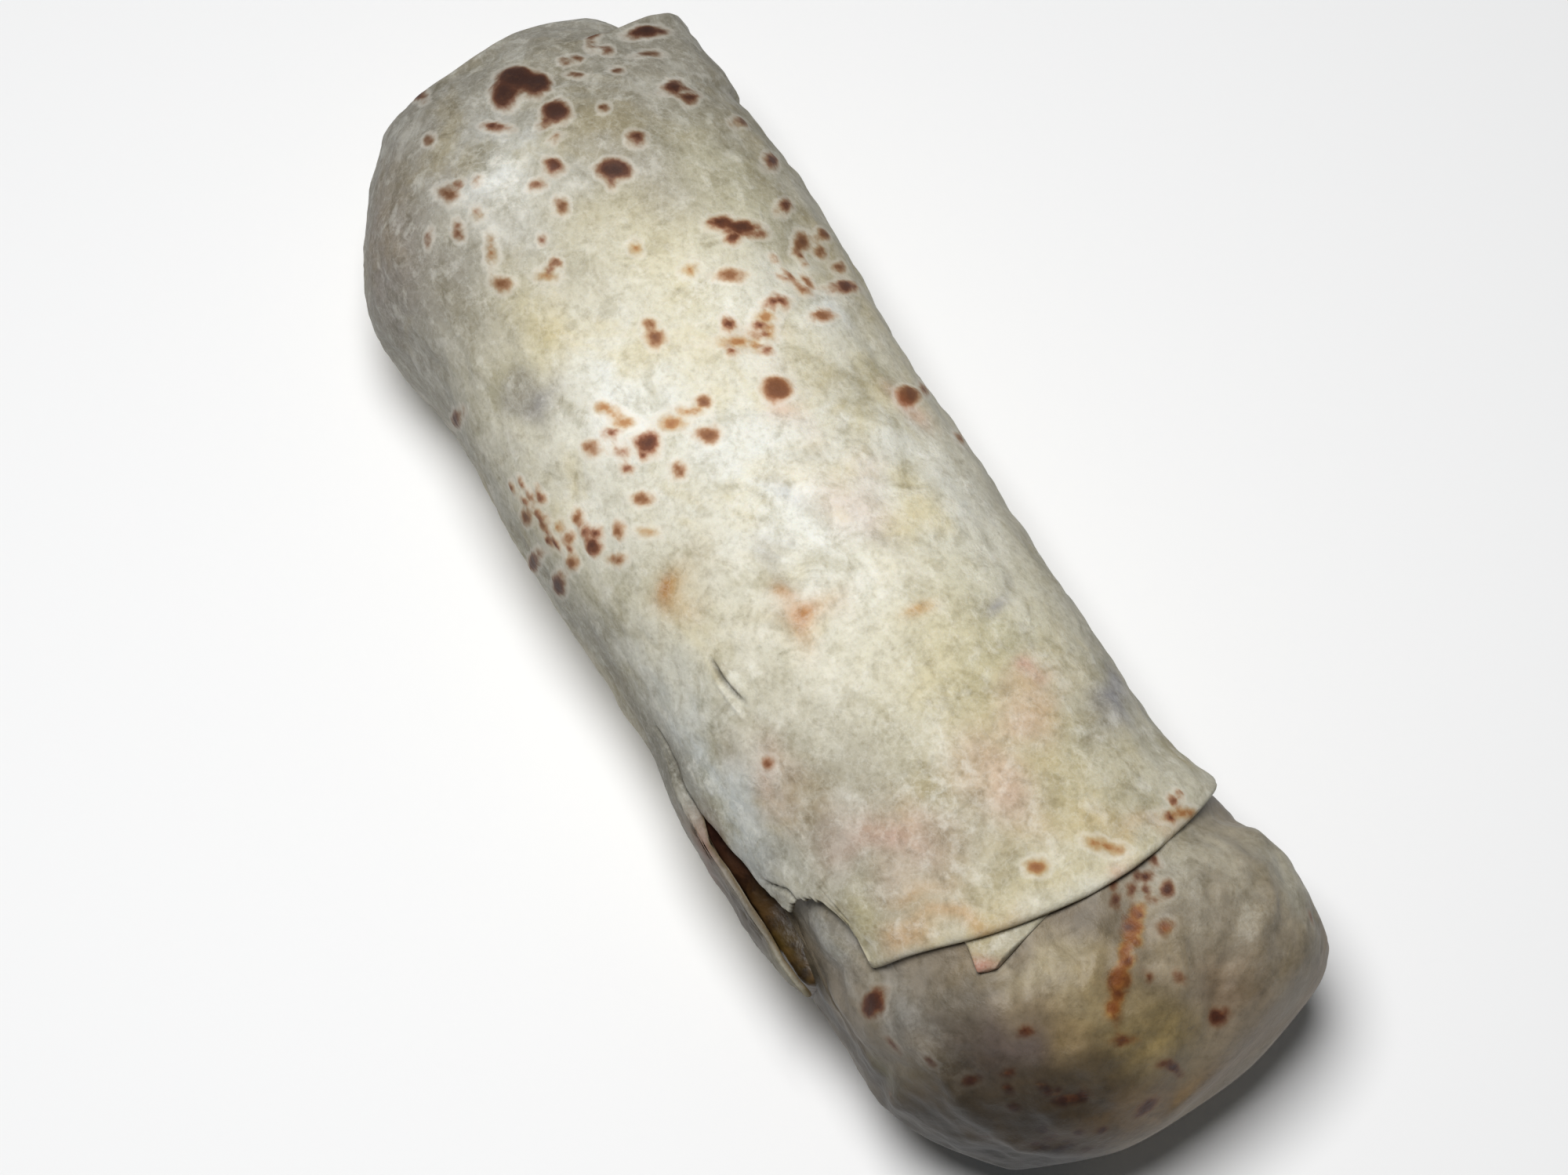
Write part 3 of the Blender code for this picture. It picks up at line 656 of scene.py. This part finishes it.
# The dough is dry and pale in a ring just outside each mark: its middle and its half width, in mm
RING, RING_HALF, RING_MOST = 0.7, 0.7, 0.8
ring = add_node(tortilla, "Math", {0: gap, 1: RING}, operation="SUBTRACT")
ring = add_node(tortilla, "Math", {0: ring.outputs[0]}, operation="ABSOLUTE")
ring = add_node(tortilla, "MapRange", {
    0: ring.outputs[0], 1: RING_HALF, 2: 0.0, 3: 0.0, 4: RING_MOST,
}, interpolation_type="SMOOTHSTEP")
ring = add_node(tortilla, "Math", {0: ring.outputs[0], 1: flour}, operation="MULTIPLY").outputs[0]
colour = add_node(tortilla, "Mix", {0: ring, 6: colour, 7: rgba("#EDE9DF")}, data_type="RGBA").outputs[2]
colour = add_node(tortilla, "Mix", {0: cover, 6: colour, 7: brown}, data_type="RGBA").outputs[2]

# A fine grain, raised a little where flour lies. Floured dough is matt, and damp dough has a soft sheen
grain = add_node(tortilla, "TexNoise", {"Vector": at, "Scale": per_mm(0.7), "Detail": 5.0, "Roughness": 0.65})
raised = add_node(tortilla, "Math", {0: specks, 1: 0.6}, operation="MULTIPLY")
raised = add_node(tortilla, "Math", {0: raised.outputs[0], 1: grain.outputs[0]}, operation="ADD")
rise = add_node(tortilla, "Bump", {"Height": raised.outputs[0], "Strength": 0.5, "Distance": 0.3 * MM})
tortilla.node_tree.links.new(colour, tortilla_shader.inputs["Base Color"])
tortilla.node_tree.links.new(rise.outputs["Normal"], tortilla_shader.inputs["Normal"])
matt = add_node(tortilla, "MapRange", {0: flour, 1: 0.0, 2: 0.7, 3: 0.52, 4: 0.8})
tortilla.node_tree.links.new(matt.outputs[0], tortilla_shader.inputs["Roughness"])
tortilla_shader.inputs["IOR"].default_value = 1.45
tortilla_shader.inputs["Subsurface Weight"].default_value = 0.12
tortilla_shader.inputs["Subsurface Radius"].default_value = (1.0, 0.7, 0.4)
tortilla_shader.inputs["Subsurface Scale"].default_value = 1.5 * MM

outer_turn.data.materials.append(tortilla)
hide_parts("tortilla")
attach(outer_turn, "root")


# ---- The tucked end
# The inner turn of the same sheet, gathered over the end of the filling and folded in, so that its layers lie
# over each other in curved steps on the right. It is browner than the rest, and darkened further by painted
# shade.

# The layer starts this far in under the outer turn, but behind the torn strip only at the second x. Beyond
# the shoulder its rows are closer together
POCKET, STRIP_POCKET = 5, 53
TUCKED_SHOULDER = 77

# A crease runs over the right of the end, along a line of x and turn. The layer bulges in the tear, and a
# ledge lies beyond the split
CREASE, CREASE_HALF = 1.5, 3.5
CREASE_LINE = ((78, 42), (85.7, 36), (93.2, 26), (99.7, 18.5), (103, 12))
BULGE, BULGE_X, BULGE_TURN = 2.4, 57, -60
LEDGE, LEDGE_TOP, LEDGE_FOOT, LEDGE_HALF, LEDGE_TURN = 0.7, 79.5, 75.5, 1.8, -82

# Small dark marks, three browned ones and a long streak of pale toast across the end
TUCKED_TONE_AND_SHADE = "#877A66"
TUCKED_SCORCHED = (
    (68.1, -60, 2.6, 1.5, -75), (74.3, 26.5, 0.6, 0.45, 0), (76, 21.5, 0.7, 0.45, 60),
    (76.5, 16.5, 0.7, 0.5, -60), (79.5, 22.5, 0.8, 0.6, -60), (90.8, 15, 0.5, 0.35, 0),
    (88, 8, 0.4, 0.3, 0), (93, -5, 0.9, 0.45, 60), (97.4, 24, 1.2, 0.9, -20), (98.9, 7.5, 1.2, 0.8, 50),
    (90.4, 66.5, 1.5, 0.6, 50), (95.1, 57, 0.5, 0.4, 0), (95.3, -31, 0.8, 0.6, 0),
    (100.7, -12.5, 1.4, 0.7, -60), (79.6, -55.5, 0.5, 0.35, 0), (73.9, -64, 0.5, 0.3, 0),
    (84.9, -27.5, 1, 0.7, 50), (85.1, -51.5, 1, 0.6, 65), (87.6, -41, 0.8, 0.5, 60),
    (88.9, -45, 0.5, 0.35, 0), (91.5, -36.5, 0.6, 0.4, 0), (94.6, -35.5, 2, 0.8, 45),
    (78, -84, 0.5, 0.4, 0), (95.7, -55, 0.7, 0.5, 0), (96.1, -65.5, 0.7, 0.5, 0),
    (91.2, -73, 0.8, 0.4, 60), (98.7, -64.5, 1, 0.6, 60),
)
TUCKED_BROWNED = ((86.6, 2.4, 1.5, 1, -20), (88.2, -2, 1.5, 0.6, -60), (89.6, -5, 0.9, 0.6, 0))
STREAK = (
    (79.9, 13.8, 1.9, 1.1, -60), (81.3, 11, 2.1, 1.4, -45), (82.6, 9.2, 1.6, 1.1, 10),
    (83.3, 6.2, 1.8, 1, -50), (84.8, 4.6, 1.7, 1.1, -70), (86, 1.4, 2.1, 1.3, -40),
    (87.6, -0.6, 1.5, 0.8, -20), (88.8, -3.6, 1.7, 1, -50), (84, 16.5, 0.9, 0.7, -35),
)
TUCKED_TOAST = ((TUCKED_SCORCHED, 1.0), (TUCKED_BROWNED, 0.45), (STREAK, 0.35))
TUCKED_FLECKS = ((77, 20, 4, 7, 7), (93, -52, 7, 24, 7), (99, -60, 4, 30, 6))
# The darkest tints, low on the left of the end and in the tear by the torn strip, are painted shade
TUCKED_TINTS_AND_SHADE = (
    ("#958A76", 88, 45, 18, 40, 0, 0.55), ("#43351F", 93, -60, 16, 36, 0, 0.85),
    ("#352715", 99, -68, 11, 70, 0, 0.9), ("#7A6240", 102, 4, 6, 60, 0, 0.8),
    ("#3A342B", 74, -90, 16, 16, 0, 0.9), ("#B8B4A2", 75.5, 32, 8, 16, 0, 0.6),
    ("#8E8D88", 72, -50, 8, 9, 0, 0.7), ("#66635C", 73, -68, 6, 6, 0, 0.5),
    ("#6E675B", 77, -36, 6, 10, 0, 0.6), ("#554A40", 83, -46, 7, 9, 0, 0.65),
    ("#66595C", 85, -34, 5, 7, 0, 0.6), ("#9C8660", 87, -20, 6, 9, 0, 0.75),
    ("#AC9970", 87, -5, 5, 8, 0, 0.6), ("#988454", 94.8, 4, 6, 11, 0, 0.75),
    ("#AC9F8A", 87, 13, 5, 8, 0, 0.6), ("#AFA283", 79.5, -12, 7, 8, 60, 0.75),
    ("#55502F", 77, -76, 3, 7, 0, 0.6), ("#8E8672", 84, 50, 12, 9, 0, 0.5),
    ("#B8B4A4", 89.5, 56, 8, 7, 0, 0.65), ("#8E7A62", 95.5, 27, 6, 7, 0, 0.7),
    ("#A09884", 84, 39, 8, 5, 0, 0.6), ("#979A99", 57, -60, 7, 11, 0, 0.7),
    ("#5C5039", 47, -72, 7, 5, 0, 0.9), ("#5E5A50", 53, -70, 8, 4, 0, 0.6),
    ("#4E3A26", 97, 27, 4, 5, 0, 0.35), ("#2A2314", 59, -90, 8, 9, 0, 0.95),
)
TUCKED_FLOURED = (
    (58, -61, 7, 12, 0, 0.4), (73, -55, 9, 8, 0, 0.22), (76, 30, 9, 20, 0, 0.25), (90, 36, 9, 9, 0, 0.2),
    (92, 53, 8, 6, 0, 0.2),
)
LEAST_TUCKED_FLOUR = 0.01

# Soft folds that the gathering left: the turn at each x along the crest, the height and the half width
GATHERS = (
    (((70, 30), (76, 36), (80.8, 41), (85.7, 46), (89.4, 42), (93.2, 35), (98, 27)), 0.6, 2.6),
    (((72, 60), (82, 59), (88, 58), (95.8, 54), (100, 48)), 0.6, 2.6),
    (((72, 12), (78, 5), (83, -3), (88, -12), (94, -20)), 0.5, 2.2),
    (((72, -10), (80, -20), (88, -30), (96, -46)), 0.5, 2.6),
    (((72, -52), (80, -56), (88, -62), (96, -72)), 0.7, 2.6),
    (((66, 88), (80, 84), (90, 86), (100, 92)), 1.0, 2.8),
    (((62, 118), (76, 112), (90, 120), (100, 128)), 1.1, 3),
    (((66, -104), (80, -100), (90, -108), (100, -116)), 0.9, 2.8),
    (((62, -136), (80, -140), (100, -146)), 0.9, 3),
)


def tucked_start(turn):
    """Where the tucked layer comes out from under the outer turn, and further along below the split."""
    strip = step(-104, -98, turn) * (1 - step(-83, -79, turn))
    start = edge_x(turn) - POCKET
    return start + (STRIP_POCKET - start) * strip


def tucked_relief(x, turn, edge):
    """How far the tucked layer stands off the skin, with its crease, bulge, ledge and gathers."""
    down = 1 - step(0, 12, x - fold_x(turn))
    size = end_share(TUCKED_END - x, TUCKED_DOME, TUCKED_POWER)
    across = (turn - smooth_between(CREASE_LINE, x)) * MM_PER_DEGREE * size
    crease = CREASE * step(86, 99, x) * bump(across, CREASE_HALF) * step(0.15, 0.5, size)
    bulge = BULGE * bump(x - BULGE_X, 7) * bump(turn_from(BULGE_TURN, turn), 9) * step(0, 4, x - edge)
    rise = bump(x - LEDGE_TOP, LEDGE_HALF) - bump(x - LEDGE_FOOT, LEDGE_HALF)
    ledge = LEDGE * rise * bump(turn_from(LEDGE_TURN, turn), 14)
    relief = bulge + ledge - crease - (SHEET + LAYER_GAP) * down
    for line, height, half in GATHERS:
        across = (turn - smooth_between(line, x)) * MM_PER_DEGREE * size
        relief = relief + height * bump(across, half) * step(68, 78, x) * step(0.2, 0.6, size)
    return relief


turns = np.concatenate([np.arange(-180, -20, 1.25), np.arange(-20, 70, 0.9), np.arange(70, 179, 1.5), [180]])
edge = edge_x(turns)
start = tucked_start(turns)
rows = [start + (TUCKED_SHOULDER - start) * share for share in np.linspace(0, 1, 64)]
for angle in np.radians(np.linspace(90, 0, 84)[1:]):
    rows.append(np.full_like(turns, TUCKED_END - (TUCKED_END - TUCKED_SHOULDER) * (1 - math.cos(angle))))
along = np.array(rows)
bare = skin(along, turns)
toast, dark = toasted(bare, TUCKED_TOAST, TUCKED_FLECKS)
# Its base colour is darkened, and its darkest tints are laid on, as painted shade
tint = tinted(bare, TUCKED_TONE_AND_SHADE, TUCKED_TINTS_AND_SHADE)
flour = floured(bare, TUCKED_FLOURED, LEAST_TUCKED_FLOUR)

# The lower left of the end is darkened and browned, as painted shade with some sauce stain in it, and the
# dough is mottled all over
SHADE_AND_STAIN_DARKENING, SHADE_AND_STAIN_BROWNING = 0.8, (0, 0.06, 0.2)
shade_and_stain = step(72, 88, along) * step(-4, -16, bare[..., 1]) * step(54, 38, bare[..., 2])
shade_and_stain = shade_and_stain * (0.9 + 0.3 * unevenness(bare, 6, 14))
mottle = 1 + 0.2 * unevenness(bare, 3.2, 16) + 0.15 * unevenness(bare, 1.5, 17)
tint = tint * ((1 - SHADE_AND_STAIN_DARKENING * shade_and_stain) * mottle)[..., None]
tint = tint * (1 - np.multiply.outer(shade_and_stain, SHADE_AND_STAIN_BROWNING))

# The dough is warmer under its toast marks, and golden and unevenly toasted under the long streak
UNDER_TOAST, UNDER_STREAK = "#94784A", "#BCA468"
warm = linear(UNDER_TOAST) * (1 - 0.6 * shade_and_stain)[..., None]
tint = tint + (warm - tint) * (0.7 * step(0, -0.5, toast))[..., None]
streak = toasted(bare, TUCKED_TOAST[-1:], ())[0]
tint = brushed(tint, UNDER_STREAK, 0.8 * step(0.3, -0.6, streak))
dark = dark + step(0.3, -0.3, streak) * np.maximum(unevenness(bare, 1.7, 18), 0)

TUCKED_LUMPS, TUCKED_WRINKLES = ((0.6, 11, 7), (0.4, 4.5, 8), (0.2, 2, 9)), (84, 40, 14, 50, -20)
uneven = sum(height * unevenness(bare, size, seed) for height, size, seed in TUCKED_LUMPS) - SPARE
uneven += WRINKLE_HEIGHT * wrinkles(along, turns, *TUCKED_WRINKLES)
relief = tucked_relief(along, turns, edge)
relief += uneven * step(0, 6, along - edge) * step(0, 10, TUCKED_END - along)
places = pressed(skin(along, turns, -relief))
back = np.array([start.min(), 0, END_HEIGHT])
places = np.concatenate([np.broadcast_to(back, (1, len(turns), 3)), places])
toast, dark = np.concatenate([toast[:1], toast]), np.concatenate([dark[:1], dark])
tint, flour = np.concatenate([tint[:1], tint]), np.concatenate([flour[:1], flour])
tucked_end = wrap("tucked_end", places, {"toast": toast, "dark": dark, "flour": flour}, {"tint": tint})
tucked_end.data.materials.append(tortilla)
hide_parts("tortilla")
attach(tucked_end, "root")


# ---- The tongue
# A corner of the same sheet that was caught under the fold: a thin flap that lies on the tucked end,
# with its tip stained red by the filling.

# Its root and its tip, each from end to end as x and turn, then its least and full thickness and its gap
TONGUE_ROOT, TONGUE_TIP = ((66, -27), (72.5, -1)), ((74.8, -28.5), (75.7, -24.5))
TONGUE_THIN, TONGUE_THICK, TONGUE_GAP, TONGUE_FLOUR = 0.35, 1.2, 0.1, 0.4
TONGUE_BASE = "#A9A28C"
TONGUE_TINTS = (("#B8786A", 75.2, -26.5, 2.2, 4, 0, 0.85), ("#B5B09C", 73, -14, 3, 10, 0, 0.6))
across, out = np.meshgrid(np.linspace(0, 1, 33), np.linspace(0, 1, 41))
root, tip = (
    np.array(ends[0]) + (np.array(ends[1]) - np.array(ends[0])) * across[..., None]
    for ends in (TONGUE_ROOT, TONGUE_TIP)
)
along, turns = np.moveaxis(root + (tip - root) * out[..., None], -1, 0)
rim = np.clip(np.minimum(8 * np.minimum(across, 1 - across), 6 * (1 - out)), 0, 1)
thick = (TONGUE_THIN + (TONGUE_THICK - TONGUE_THIN) * step(0.4, 0.8, out)) * np.sqrt(rim * (2 - rim))
lie = tucked_relief(along, turns, edge_x(turns.ravel()).reshape(turns.shape)) + TONGUE_GAP
bare = skin(along, turns)
upper = skin(along, turns, -(lie + TONGUE_GAP + thick + 0.2 * unevenness(bare, 4, 12) * rim))
lower = skin(along, turns, -lie)
places = np.concatenate([upper, lower[:, ::-1], upper[:, :1]], 1)
places[[0, -1]] = places[[0, -1]].mean(1, keepdims=True)
bare = skin(*(np.concatenate([grid, grid[:, ::-1], grid[:, :1]], 1) for grid in (along, turns)))
plain = np.ones(bare.shape[:2])
tongue = wrap("tongue", places, {
    "toast": FAR_FROM_TOAST * plain, "dark": 0 * plain, "flour": TONGUE_FLOUR * plain,
}, {"tint": tinted(bare, TONGUE_BASE, TONGUE_TINTS)})
tongue.data.materials.append(tortilla)
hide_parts("tortilla")
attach(tongue, "root")


# ---- The filling
# Stewed beans and peppers packed down the middle. They show only in the split behind the torn strip,
# as a moist ridge: maroon above and olive below.

# How deep the filling lies under the sheet, and how near the skin its ridge comes in the split, in mm. Under
# the strip the ridge rises by this share of the strip's lift
WALL, FILLING_END = 5.5, 63
SPLIT_INSET, UNDER_STRIP = 1.5, 0.8
SPLIT_START, SPLIT_STOP = 13, 62
FILLING_BASE = "#3A2216"
# Maroon and olive are the filling's own colours; the near-black tint under the torn strip is painted shadow
FILLING_TINTS_AND_SHADOW = (
    ("#4A2A22", 30, -78, 10, 10, 0, 0.9), ("#20100C", 34, -94, 14, 10, 0, 0.8),
    ("#463613", 50, -84, 9, 20, 0, 0.95), ("#2E250C", 57, -90, 4, 12, 0, 0.8),
)
turns = np.concatenate([
    np.arange(-180, -114, 3.0), np.arange(-114, -62, 0.8), np.arange(-62, 179, 3.0), [180],
])
stations = np.concatenate([np.linspace(CAP_X + 1, 16, 6), np.linspace(16, FILLING_END, 70)[1:]])
along = stations[:, None] + 0 * turns
ends = step(SPLIT_START, SPLIT_START + 8, along) * (1 - step(SPLIT_STOP - 5, SPLIT_STOP, along))
right = -72 - 9 * step(38, 46, along)
across = step(-112, -102, turns) * (1 - step(right - 7, right, turns))
lifted = UNDER_STRIP * strip_lift(along, -90) * (1 - step(-86, -80, turns))
ridge = ends * across * (WALL - SPLIT_INSET + lifted)
bare = skin(along, turns)
lumpy = 0.5 * unevenness(bare, 4, 10) + 0.4 * unevenness(bare, 1.6, 11)
places = skin(along, turns, WALL - ridge - lumpy * (1 - 0.5 * ends))
tint = tinted(bare, FILLING_BASE, FILLING_TINTS_AND_SHADOW)
front, back = (np.broadcast_to([x, 0, END_HEIGHT], (1, len(turns), 3)) for x in (stations[0], stations[-1]))
places = np.concatenate([front, places, back])
filling = wrap("filling_in_split", places, {}, {"tint": np.concatenate([tint[:1], tint, tint[-1:]])})

# Stewed filling: moist and a little glossy, with pale crushed beans in a dark sauce. The lumps' size in mm,
# where they start and are full, how strong, and their colour
STEW_LUMPS = ((2.2, 0.5, 0.66, 0.3, "#6E5230"), (1.2, 0.5, 0.36, 0.6, "#180C08"))
stew = bpy.data.materials.new("stewed_bean_filling")
stew.use_nodes = True
stew_shader = stew.node_tree.nodes["Principled BSDF"]
at = add_node(stew, "TexCoord").outputs["Object"]
colour = add_node(stew, "Attribute", attribute_name="tint").outputs["Color"]
for size, start, full, most, patch in STEW_LUMPS:
    lumps = add_node(stew, "TexNoise", {"Vector": at, "Scale": per_mm(size), "Detail": 3.0})
    share = add_node(stew, "MapRange", {0: lumps.outputs[0], 1: start, 2: full, 3: 0.0, 4: most})
    colour = add_node(stew, "Mix", {
        0: share.outputs[0], 6: colour, 7: rgba(patch),
    }, data_type="RGBA").outputs[2]
grain = add_node(stew, "TexNoise", {"Vector": at, "Scale": per_mm(0.9), "Detail": 4.0})
rise = add_node(stew, "Bump", {"Height": grain.outputs[0], "Strength": 0.6, "Distance": 0.4 * MM})
stew.node_tree.links.new(colour, stew_shader.inputs["Base Color"])
stew.node_tree.links.new(rise.outputs["Normal"], stew_shader.inputs["Normal"])
stew_shader.inputs["Roughness"].default_value = 0.42
stew_shader.inputs["IOR"].default_value = 1.38
filling.data.materials.append(stew)
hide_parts("filling")
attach(filling, "root")


# ---- Floor, light and camera
# A plain pale floor, one large soft lamp almost overhead, and a dim even surround. The camera looks
# steeply down past the tucked end's left side.

FLOOR, SURROUND, SURROUND_STRENGTH = "#F2F2F2", "#E8EEF4", 0.08
LAMP_AT, LAMP_AIM, LAMP_SIZE, LAMP_POWER = (-0.03, -0.08, 0.8), (0, 0, 0.03), 0.35, 6.6
SENSOR_WIDTH, LENS = 36, 92.6
bpy.ops.object.select_all(action="DESELECT")
bpy.ops.mesh.primitive_plane_add(size=4)
floor = bpy.context.object
floor.name = "floor"
paper = bpy.data.materials.new("pale_paper")
paper.use_nodes = True
paper.node_tree.nodes["Principled BSDF"].inputs["Base Color"].default_value = rgba(FLOOR)
paper.node_tree.nodes["Principled BSDF"].inputs["Roughness"].default_value = 0.9
floor.data.materials.append(paper)

world = bpy.data.worlds.new("surround")
world.use_nodes = True
world.node_tree.nodes["Background"].inputs["Color"].default_value = rgba(SURROUND)
world.node_tree.nodes["Background"].inputs["Strength"].default_value = SURROUND_STRENGTH
bpy.context.scene.world = world

bpy.ops.object.light_add(type="AREA", location=LAMP_AT)
lamp = bpy.context.object
lamp.name = "soft_lamp"
lamp.data.shape = "DISK"
lamp.data.size = LAMP_SIZE
lamp.data.energy = LAMP_POWER
lamp.rotation_euler = (Vector(LAMP_AIM) - lamp.location).to_track_quat("-Z", "Y").to_euler()

AIM = (Vector((1.75, -2.4, 28.9)) + Vector(ZERO)) * MM
AZIMUTH, ELEVATION, AWAY = math.radians(57.9), math.radians(68), 620 * MM
level = math.cos(ELEVATION)
back = Vector((math.sin(AZIMUTH) * level, -math.cos(AZIMUTH) * level, math.sin(ELEVATION)))
bpy.ops.object.camera_add(location=AIM + AWAY * back)
camera = bpy.context.object
camera.rotation_euler = (-back).to_track_quat("-Z", "Y").to_euler()
camera.data.sensor_width = SENSOR_WIDTH
camera.data.lens = LENS
bpy.context.scene.camera = camera
bpy.context.scene.view_settings.view_transform = "Standard"
